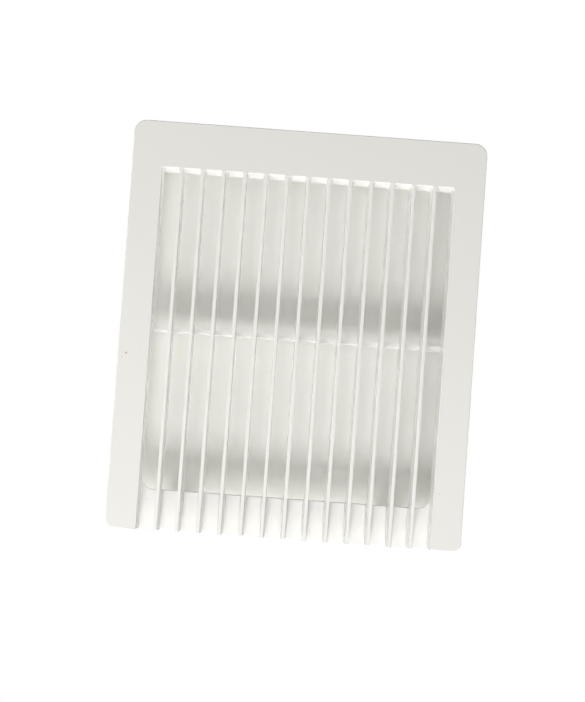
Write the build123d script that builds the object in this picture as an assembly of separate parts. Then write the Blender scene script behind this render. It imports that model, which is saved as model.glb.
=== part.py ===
import os
from math import radians, tan

from build123d import *

# Exhaust grille, moulded in one piece. Millimetres, +Z up, front face towards -Y.
# The origin is the middle of the rear face, which bears on the wall or filter frame.

# Front frame: a hollow border with an outer skirt and a collar round the opening
grille_width = 130.0
grille_height = 150.0
frame_depth = 12.0
face_thickness = 2.0
wall_thickness = 1.8
side_border = 11.2
top_border = 16.8
top_corner_radius = 4.5
bottom_corner_radius = 3.0
front_edge_radius = 0.3
draft_angle = 0.5

# Upright ribs, as deep as the frame, with the slots open at the bottom edge
rib_count = 13
rib_thickness = 1.3
slot_edge_break = 0.15
slot_corner_radius = 0.9

# Back plate that closes the lower end of the slots and drains outwards
plate_height = 14.7
plate_thickness = 1.5
plate_root_radius = 0.5
plate_edge_break = 0.4
window_corner_radius = 4.0

# Crossbar behind the ribs, measured from the bottom edge to its middle
crossbar_height = 74.4
crossbar_thickness = 1.3
crossbar_reach = 7.5
crossbar_corner_radius = 3.0

# Snap hooks behind the top border and the back plate
hook_spacing = 78.0
hook_width = 10.0
hook_thickness = 2.0
hook_reach = 11.0
hook_barb = 1.2
hook_lead_length = 3.5
hook_land = 0.6
hook_tip_thickness = 1.2

# How far a cutting shape runs out past the edge that it opens
run_out = 1.0

top_edge = grille_height / 2
bottom_edge = -grille_height / 2
opening_top = top_edge - top_border
opening_width = grille_width - 2 * side_border
slot_width = (opening_width - rib_count * rib_thickness) / (rib_count + 1)
slot_pitch = slot_width + rib_thickness
plate_top = bottom_edge + plate_height
rear_opening_width = opening_width - 2 * frame_depth * tan(radians(draft_angle))

rear = Plane.XZ
front = Plane.XZ.offset(frame_depth)
slot_places = GridLocations(slot_pitch, 0, rib_count + 1, 1)


def upright(width, low, high):
    """A rectangle centred on X that spans two heights."""
    return Pos(0, (low + high) / 2) * Rectangle(width, high - low)


def corners(outline, end, radius):
    """Rounds the corners at the top (end -1) or the bottom (end 0) of an outline."""
    return fillet(outline.vertices().group_by(Axis.Y)[end], radius)


def frame_outline():
    outline = corners(Rectangle(grille_width, grille_height), -1, top_corner_radius)
    return corners(outline, 0, bottom_corner_radius)


def frame_block():
    block = extrude(rear * frame_outline(), frame_depth)
    return fillet(block.faces().sort_by(Axis.Y)[0].edges(), front_edge_radius)


def border_hollow():
    """The space inside the border, open to the rear between skirt and collar."""
    border = frame_outline() - upright(opening_width, bottom_edge, opening_top)
    hollow = offset(border, -wall_thickness, kind=Kind.INTERSECTION)
    return extrude(rear * hollow, frame_depth - face_thickness, taper=draft_angle)


def window_outline(widened, lowered):
    """The window above the back plate, whose lower corners curve up into the collar."""
    outline = upright(rear_opening_width + 2 * widened, plate_top - lowered, top_edge)
    return corners(outline, 0, window_corner_radius + lowered)


def window():
    """The space above the back plate, with the plate's upper edge broken at the front."""
    outline = window_outline(0, 0) + upright(grille_width, plate_top + window_corner_radius, top_edge)
    space = extrude(rear.offset(-run_out) * outline, frame_depth + 2 * run_out)
    root_depth = plate_thickness + plate_root_radius
    flare = window_outline(plate_root_radius, plate_root_radius + plate_edge_break)
    return space + extrude(rear.offset(root_depth) * flare, -root_depth, taper=45)


def slot_profile(rear_end):
    """A slot seen from above, drafted from past the front face back to a given depth."""
    slope = tan(radians(draft_angle))
    half_front = slot_width / 2 + run_out * slope
    half_rear = slot_width / 2 - (frame_depth + rear_end) * slope
    return Polygon(
        (-half_front, -frame_depth - run_out),
        (half_front, -frame_depth - run_out),
        (half_rear, rear_end),
        (-half_rear, rear_end),
        align=None,
    )


def at_each_slot(cutter):
    return [Pos(place.position.X, 0, 0) * cutter for place in slot_places]


def open_slots():
    """The slots above the back plate, right through the grille, with rounded upper corners."""
    length = opening_top - bottom_edge + run_out
    slot = extrude(Plane.XY.offset(bottom_edge - run_out) * slot_profile(run_out), length)
    upper_face = slot.faces().sort_by(Axis.Z)[-1]
    slot = fillet(upper_face.edges().sort_by(SortBy.LENGTH)[-2:], slot_corner_radius)
    open_part = window()
    return [slot_here & open_part for slot_here in at_each_slot(slot)]


def slot_troughs():
    """The slots in front of the back plate, with rounded roots beside the ribs."""
    profile = corners(slot_profile(-plate_thickness), -1, plate_root_radius)
    length = plate_height + window_corner_radius + run_out
    trough = extrude(Plane.XY.offset(bottom_edge - run_out) * profile, length)
    return at_each_slot(trough)


def slot_mouths():
    """The broken edge round each slot at the front."""
    mouth_width = slot_width + 2 * slot_edge_break
    mouth = upright(mouth_width, bottom_edge - run_out, opening_top + slot_edge_break)
    mouth = corners(mouth, -1, slot_corner_radius + slot_edge_break)
    return at_each_slot(extrude(front * mouth, -2 * slot_edge_break, taper=45))


def crossbar():
    """A thin level web across the opening that ties the ribs together from behind."""
    length = opening_width + 2 * wall_thickness
    depth = plate_thickness + crossbar_reach
    outline = Pos(0, crossbar_reach - depth / 2) * Rectangle(length, depth)
    outline = corners(outline, -1, crossbar_corner_radius)
    lower_face = bottom_edge + crossbar_height - crossbar_thickness / 2
    return extrude(Plane.XY.offset(lower_face) * outline, crossbar_thickness)


def snap_hook(root, height, outward):
    """A hook pair at one height; outward is +1 for barbs that point up, -1 for down."""
    inner = -hook_thickness / 2
    outer = hook_thickness / 2
    barb_end = hook_reach - hook_lead_length
    side = Polygon(
        (root, inner),
        (hook_reach, inner),
        (hook_reach, inner + hook_tip_thickness),
        (barb_end, outer + hook_barb),
        (barb_end - hook_land, outer + hook_barb),
        (barb_end - hook_land, outer),
        (root, outer),
        align=None,
    )
    if outward < 0:
        side = mirror(side, about=Plane.XZ)
    side = Pos(0, height) * side
    hook = extrude(Plane.YZ * side, hook_width / 2, both=True)
    return [Pos(x, 0, 0) * hook for x in (-hook_spacing / 2, hook_spacing / 2)]


def exhaust_grille():
    grille = frame_block() - border_hollow() - open_slots() - slot_troughs() - slot_mouths()
    top_hook_height = top_edge - top_border / 2
    plate_hook_height = bottom_edge + plate_height / 2
    grille += crossbar()
    grille += snap_hook(face_thickness / 2 - frame_depth, top_hook_height, 1)
    grille += snap_hook(-plate_thickness / 2, plate_hook_height, -1)
    return grille


os.makedirs("parts", exist_ok=True)
export_step(exhaust_grille(), "parts/exhaust_grille.step")
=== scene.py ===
import math

import bpy
from mathutils import Matrix, Vector

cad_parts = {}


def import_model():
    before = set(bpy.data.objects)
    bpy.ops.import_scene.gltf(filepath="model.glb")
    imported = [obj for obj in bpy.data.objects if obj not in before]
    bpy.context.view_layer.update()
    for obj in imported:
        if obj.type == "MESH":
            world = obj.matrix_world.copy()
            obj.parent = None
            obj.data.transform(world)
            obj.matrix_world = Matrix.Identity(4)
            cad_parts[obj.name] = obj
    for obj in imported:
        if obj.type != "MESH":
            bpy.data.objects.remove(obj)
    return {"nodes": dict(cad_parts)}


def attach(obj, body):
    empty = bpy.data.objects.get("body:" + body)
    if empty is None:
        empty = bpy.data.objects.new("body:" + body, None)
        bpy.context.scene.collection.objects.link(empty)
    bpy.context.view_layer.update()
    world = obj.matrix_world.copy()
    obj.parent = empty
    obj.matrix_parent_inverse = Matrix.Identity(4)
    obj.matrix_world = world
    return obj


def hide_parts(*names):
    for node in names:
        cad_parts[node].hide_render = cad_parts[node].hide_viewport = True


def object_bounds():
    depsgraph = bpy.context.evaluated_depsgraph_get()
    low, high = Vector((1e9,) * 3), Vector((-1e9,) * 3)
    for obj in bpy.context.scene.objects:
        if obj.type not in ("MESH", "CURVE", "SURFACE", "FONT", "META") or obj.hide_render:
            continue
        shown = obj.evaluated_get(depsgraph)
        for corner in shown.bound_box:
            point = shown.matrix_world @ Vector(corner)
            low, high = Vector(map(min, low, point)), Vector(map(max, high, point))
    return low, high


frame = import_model()
cadLow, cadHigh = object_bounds()
print("loaded the grille,", len(frame["nodes"]), "node")


def millimetres(*values):
    return tuple(value / 1000 for value in values)


# A place on the grille, in mm from the top left corner of its front face
def fromTopLeft(across, down, back):
    return Vector((cadLow.x + across / 1000, cadLow.y + back / 1000, cadHigh.z - down / 1000))


class Socket:  # a node socket that takes part in sums
    def __init__(self, tree, socket=None):
        self.tree = tree
        self.socket = socket

    def node(self, kind, settings=None, values=None, out=0):
        added = self.tree.nodes.new(kind)
        for name, value in (settings or {}).items():
            setattr(added, name, value)
        for name, value in (values or {}).items():
            if isinstance(value, Socket):
                self.tree.links.new(value.socket, added.inputs[name])
            else:
                added.inputs[name].default_value = value
        return Socket(self.tree, added.outputs[out] if added.outputs else None)

    def sum(self, operation, first, second):
        return self.node("ShaderNodeMath", {"operation": operation}, {0: first, 1: second})

    def __add__(self, other):
        return self.sum("ADD", self, other)

    def __radd__(self, other):
        return self.sum("ADD", other, self)

    def __sub__(self, other):
        return self.sum("SUBTRACT", self, other)

    def __rsub__(self, other):
        return self.sum("SUBTRACT", other, self)

    def __mul__(self, other):
        return self.sum("MULTIPLY", self, other)

    def __rmul__(self, other):
        return self.sum("MULTIPLY", other, self)


def newMaterial(name):
    material = bpy.data.materials.new(name)
    material.use_nodes = True
    material.node_tree.nodes.clear()
    return material, Socket(material.node_tree)


def ramp(value, start, end):  # 0 before start, 1 after end, smooth between
    settings = {"interpolation_type": "SMOOTHSTEP"}
    values = {"Value": value, "From Min": start, "From Max": end}
    return value.node("ShaderNodeMapRange", settings, values)


def noise(place, scale, detail=2.0):
    values = {"Vector": place, "Scale": scale, "Detail": detail}
    return place.node("ShaderNodeTexNoise", {}, values)


def stretched(place, scale, turn):
    size = tuple(1 / value for value in scale)
    values = {"Vector": place, "Rotation": (0, turn, 0), "Scale": size}
    return place.node("ShaderNodeMapping", {"vector_type": "TEXTURE"}, values)


def mixColor(factor, first, second):
    values = {0: factor, 6: first, 7: second}
    return factor.node("ShaderNodeMix", {"data_type": "RGBA"}, values, out=2)


def alongAxes(place):
    parts = place.node("ShaderNodeSeparateXYZ", {}, {0: place}).socket.node
    return [Socket(place.tree, parts.outputs[name]) for name in "XYZ"]


# The moulding's own finish: satin white plastic, a little warm, handled but clean, with painted
# light on the ribs
plasticSettings = {
    "white": (0.90, 0.893, 0.87, 1),
    "ribsPaintedLighter": (0.95, 0.948, 0.935, 1),  # painted light: a lighter white on the ribs and slot walls stands in for light passing through the thin ribs and bouncing between them
    "cloud": (0.885, 0.875, 0.85, 1),
    "cloudScale": 26,
    "cloudRange": (0.35, 0.75),
    "cloudStrength": 0.35,
    "roughness": 0.44,
    "roughnessScale": 60,
    "roughnessSpread": 0.08,
    "smootherInSlots": 0.2,  # the slot walls slide off the mould and come out smoother
    "slotsLeft": 11.2,  # the slots' outline, in mm from the top left
    "slotsRight": 118.8,
    "slotsTop": 16.8,
    "slotsSoft": 0.3,
    "wallsFrom": 0.2,  # mm behind the front face, where the slot walls start
    "wallsFull": 0.5,
    "grainScale": 2600,
    "grainDetail": 3.0,
    "grainHeight": 0.000012,
    "grainStrength": 0.35,
    "scratch": (0.70, 0.685, 0.64, 1),
    "scratchSize": (1500, 1500, 22),  # hair lines per metre across, in depth and along
    "scratchTurns": (4, -11, 23),  # degrees from upright
    "scratchRange": (0.80, 0.86),
    "scratchStrength": 0.35,
    "wornScale": 40,  # the patches that are scratched
    "wornRange": (0.52, 0.68),
    "speck": (0.34, 0.22, 0.12, 1),
    "speckEdgeScale": 2200,
    "speckCore": 0.4,  # the share of a speck's radius that has its full colour
    # mm from the left, from the top and behind the front face, then radius and how strong
    "specks": (
        (3.0, 86.0, 0.0, 0.45, 0.8),
        (1.6, 87.6, 0.1, 0.30, 0.6),
        (38.6, 68.2, 0.0, 0.30, 0.7),
        (120.9, 129.3, 0.0, 0.28, 0.6),
        (13.9, 139.3, 10.5, 0.30, 0.35),
        (14.7, 140.8, 10.5, 0.22, 0.3),
    ),
}


def ribMasks(place):  # 1 from border to border, and 1 there behind the front faces
    keep = plasticSettings
    across, depth, up = alongAxes(place)
    start = fromTopLeft(keep["slotsLeft"], keep["slotsTop"], keep["wallsFrom"])
    end = fromTopLeft(keep["slotsRight"], keep["slotsTop"], keep["wallsFull"])
    soft = keep["slotsSoft"] / 1000
    ribs = ramp(across, start.x - soft, start.x) * (1 - ramp(across, end.x, end.x + soft))
    ribs = ribs * (1 - ramp(up, start.z, start.z + soft))
    return ribs, ribs * ramp(depth, start.y, end.y)


def scratched(place, color):
    keep = plasticSettings
    scratches = 0
    for turn in keep["scratchTurns"]:
        line = noise(stretched(place, keep["scratchSize"], math.radians(turn)), 1.0, 0.0)
        scratches = scratches + ramp(line, *keep["scratchRange"])
    worn = ramp(noise(place, keep["wornScale"]), *keep["wornRange"])
    return mixColor(scratches * worn * keep["scratchStrength"], color, keep["scratch"])


def specked(place, color):
    keep = plasticSettings
    for across, down, back, radius, strength in keep["specks"]:
        values = {0: place, 1: fromTopLeft(across, down, back)}
        away = place.node("ShaderNodeVectorMath", {"operation": "DISTANCE"}, values, out="Value")
        reach = radius / 1000
        ragged = away + (noise(place, keep["speckEdgeScale"]) - 0.5) * reach
        spot = 1 - ramp(ragged, reach * keep["speckCore"], reach)
        color = mixColor(spot * strength, color, keep["speck"])
    return color


def whitePlastic():
    keep = plasticSettings
    material, start = newMaterial("white plastic")
    place = start.node("ShaderNodeTexCoord", out="Object")
    ribs, inSlot = ribMasks(place)
    cloud = ramp(noise(place, keep["cloudScale"]), *keep["cloudRange"]) * keep["cloudStrength"]
    # painted light: the slotted area takes the lighter rib white in place of light through and
    # between the ribs
    color = mixColor(ribs, keep["white"], keep["ribsPaintedLighter"])
    color = mixColor(cloud * (1 - inSlot), color, keep["cloud"])
    color = specked(place, scratched(place, color))
    grain = noise(place, keep["grainScale"], keep["grainDetail"]) * (1 - inSlot)
    bump = start.node(
        "ShaderNodeBump",
        {},
        {"Strength": keep["grainStrength"], "Distance": keep["grainHeight"], "Height": grain},
    )
    spread = keep["roughnessSpread"]
    rough = noise(place, keep["roughnessScale"]) * spread + (keep["roughness"] - spread / 2)
    rough = rough - inSlot * keep["smootherInSlots"]
    shader = start.node(
        "ShaderNodeBsdfPrincipled",
        {},
        {"Base Color": color, "Roughness": rough, "Normal": bump},
    )
    start.node("ShaderNodeOutputMaterial", {}, {"Surface": shader})
    return material


# The grille as it is seen: the CAD form with its small facets smoothed
skinSettings = {
    "mergeWithin": 0.000002,
    "flatWithin": 0.3,  # degrees
    "smoothBelow": 50.0,
    "largeFacesFirst": 100,
}


def selectOnly(piece):
    bpy.ops.object.select_all(action="DESELECT")
    piece.select_set(True)
    bpy.context.view_layer.objects.active = piece


def mouldedGrille():
    keep = skinSettings
    skin = bpy.data.objects.new("mouldedGrille", frame["nodes"]["exhaust_grille"].data.copy())
    bpy.context.scene.collection.objects.link(skin)
    selectOnly(skin)
    bpy.ops.mesh.customdata_custom_splitnormals_clear()
    bpy.ops.object.mode_set(mode="EDIT")
    bpy.ops.mesh.select_all(action="SELECT")
    bpy.ops.mesh.remove_doubles(threshold=keep["mergeWithin"])
    bpy.ops.mesh.dissolve_limited(angle_limit=math.radians(keep["flatWithin"]))
    bpy.ops.object.mode_set(mode="OBJECT")
    smoothBelow = math.radians(keep["smoothBelow"])
    bpy.ops.object.shade_smooth_by_angle(angle=smoothBelow, keep_sharp_edges=False)
    weighted = skin.modifiers.new("flat faces stay flat", "WEIGHTED_NORMAL")
    weighted.keep_sharp = True
    weighted.weight = keep["largeFacesFirst"]
    skin.data.materials.clear()
    skin.data.materials.append(whitePlastic())
    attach(skin, "root")
    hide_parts("exhaust_grille")
    print("moulded grille:", len(skin.data.polygons), "faces")


mouldedGrille()


# Stage: a sheet of paper close behind the slots, and a wide pale floor far below
white = (1, 1, 1, 1)
paperSettings = {
    "beyond": 120.0,  # how far the sheet reaches past the grille on each side
    "left": 4.0,  # the part that shows its shade, hidden at its edges by the grille's border
    "right": 126.0,
    "top": 8.0,
    "bottom": 142.5,
    "behindFront": 24.0,
    "fade": 6.0,
    "color": (0.97, 0.967, 0.935, 1),
    "clearBelow": 0.45,  # keeps the paper below the slots from lighting the back plate strongly
}
floorSettings = {"height": -2.2, "size": 12.0, "color": (0.86, 0.86, 0.85, 1)}


# 1 for rays that show the background itself, straight, mirrored or through glass
def cameraSees(start):
    path = start.node("ShaderNodeLightPath", out="Is Camera Ray")
    lightPath = path.socket.node
    for name in ("Is Glossy Ray", "Is Transmission Ray"):
        path = path + Socket(path.tree, lightPath.outputs[name])
    return path.node("ShaderNodeClamp", {}, {"Value": path})


# Matte behind the slots, white round them, and clear from behind and for the lamps' light
def paperMaterial():
    keep = paperSettings
    material, start = newMaterial("paper")
    across, depth, up = alongAxes(start.node("ShaderNodeTexCoord", out="Object"))
    low = fromTopLeft(keep["left"], keep["bottom"], 0)
    high = fromTopLeft(keep["right"], keep["top"], 0)
    fade = keep["fade"] / 1000
    inside = 1
    for along, least, most in ((across, low.x, high.x), (up, low.z, high.z)):
        inside = inside * ramp(along, least, least + fade) * (1 - ramp(along, most - fade, most))
    matte = start.node("ShaderNodeBsdfDiffuse", {}, {"Color": keep["color"]})
    bright = start.node("ShaderNodeEmission", {}, {"Color": white, "Strength": 1.0})
    sees = cameraSees(start)
    sheet = start.node("ShaderNodeMixShader", {}, {0: sees * (1 - inside), 1: matte, 2: bright})
    clear = start.node("ShaderNodeBsdfTransparent")
    passes = start.node("ShaderNodeNewGeometry", out="Backfacing")
    passes = passes + (1 - sees) * (1 - ramp(up, low.z, low.z + fade)) * keep["clearBelow"]
    passes = passes + start.node("ShaderNodeLightPath", out="Is Shadow Ray")
    passes = start.node("ShaderNodeClamp", {}, {"Value": passes})
    oneSided = start.node("ShaderNodeMixShader", {}, {0: passes, 1: sheet, 2: clear})
    start.node("ShaderNodeOutputMaterial", {}, {"Surface": oneSided})
    return material


def paper():
    keep = paperSettings
    beyond = keep["beyond"] / 1000
    middle = (cadLow + cadHigh) / 2
    upright = (math.radians(90), 0, 0)
    bpy.ops.mesh.primitive_plane_add(size=1, location=(0, 0, 0), rotation=upright)
    sheet = bpy.context.active_object
    sheet.name = "paper"
    sheet.scale = (cadHigh.x - cadLow.x + 2 * beyond, cadHigh.z - cadLow.z + 2 * beyond, 1)
    sheet.location = (middle.x, fromTopLeft(0, 0, keep["behindFront"]).y, middle.z)
    bpy.ops.object.transform_apply(location=True, rotation=True, scale=True)
    sheet.data.materials.append(paperMaterial())


def floorMaterial():
    material, start = newMaterial("pale floor")
    matte = start.node("ShaderNodeBsdfDiffuse", {}, {"Color": floorSettings["color"]})
    bright = start.node("ShaderNodeEmission", {}, {"Color": white, "Strength": 1.0})
    mixed = start.node("ShaderNodeMixShader", {}, {0: cameraSees(start), 1: matte, 2: bright})
    start.node("ShaderNodeOutputMaterial", {}, {"Surface": mixed})
    return material


def floor():
    height = floorSettings["height"]
    bpy.ops.mesh.primitive_plane_add(size=floorSettings["size"], location=(0, 0, height))
    plane = bpy.context.active_object
    plane.name = "floor"
    plane.data.materials.append(floorMaterial())


bpy.ops.object.select_all(action="DESELECT")
paper()
floor()
print("paper and floor are in place")

# Light: an even pale surround, a soft lamp from below that shades the paper,
# weak ones beside it, and two behind for the slot walls and the back
surroundSettings = {"color": (1.0, 0.97, 0.87, 1), "strength": 0.18}
lampColor = (1.0, 0.994, 0.98)
lampSettings = (
    {"name": "low lamp", "from": (-0.123, -0.820, -1.189), "size": (0.35, 0.45), "power": 13.4},
    {"name": "low right lamp", "from": (0.321, -0.803, -1.164), "size": (0.35, 0.45), "power": 2.7},
    {"name": "low left lamp", "from": (-0.554, -0.972, -0.923), "size": (0.5, 0.6), "power": 4.0},
    {"name": "side lamp", "from": (-1.190, -0.793, -0.238), "size": (0.35, 0.45), "power": 4.0},
    {"name": "front lamp", "from": (-0.083, -1.386, -0.416), "size": (0.35, 0.45), "power": 1.0},
    {"name": "rear left lamp", "from": (-0.5, 1.1, 0.5), "size": (0.5, 0.8), "power": 2.7},
    {"name": "rear right lamp", "from": (0.5, 1.1, 0.5), "size": (0.5, 0.8), "power": 2.7},
)


def world():
    keep = surroundSettings
    surround = bpy.data.worlds.new("pale surround")
    surround.use_nodes = True
    surround.node_tree.nodes.clear()
    start = Socket(surround.node_tree)
    values = {"Color": keep["color"], "Strength": keep["strength"]}
    lights = start.node("ShaderNodeBackground", {}, values)
    bright = start.node("ShaderNodeBackground", {}, {"Color": white, "Strength": 1.0})
    mixed = start.node("ShaderNodeMixShader", {}, {0: cameraSees(start), 1: lights, 2: bright})
    start.node("ShaderNodeOutputWorld", {}, {"Surface": mixed})
    bpy.context.scene.world = surround


def lamp(keep):
    bpy.ops.object.light_add(type="AREA", location=keep["from"])
    soft = bpy.context.active_object
    soft.name = keep["name"]
    soft.data.shape = "RECTANGLE"
    soft.data.size, soft.data.size_y = keep["size"]
    soft.data.energy = keep["power"]
    soft.data.color = lampColor
    soft.visible_camera = False
    soft.rotation_euler = Vector(keep["from"]).to_track_quat("Z", "Y").to_euler()


world()
for lampKeep in lampSettings:
    lamp(lampKeep)
print("lit by", len(lampSettings), "lamps")

# Camera: close in front and a little low, turned so that the grille leans as in the photograph
cameraSettings = {
    "eye": millimetres(-7, -572, -40),
    "aim": millimetres(-4.1, -12, -22.85),
    "roll": 4.12,
    "lens": 78.59,
    "shift": (0.0154, 0.0645),
    "nearest": 0.01,
}


def camera():
    keep = cameraSettings
    data = bpy.data.cameras.new("camera")
    data.lens = keep["lens"]
    data.shift_x, data.shift_y = keep["shift"]
    data.clip_start = keep["nearest"]
    view = bpy.data.objects.new("camera", data)
    bpy.context.scene.collection.objects.link(view)
    eye = Vector(keep["eye"])
    aimed = (Vector(keep["aim"]) - eye).to_track_quat("-Z", "Y").to_matrix().to_4x4()
    rolled = aimed @ Matrix.Rotation(math.radians(keep["roll"]), 4, "Z")
    view.matrix_world = Matrix.Translation(eye) @ rolled
    bpy.context.scene.camera = view


camera()
bpy.context.scene.view_settings.view_transform = "Standard"
print("camera set")
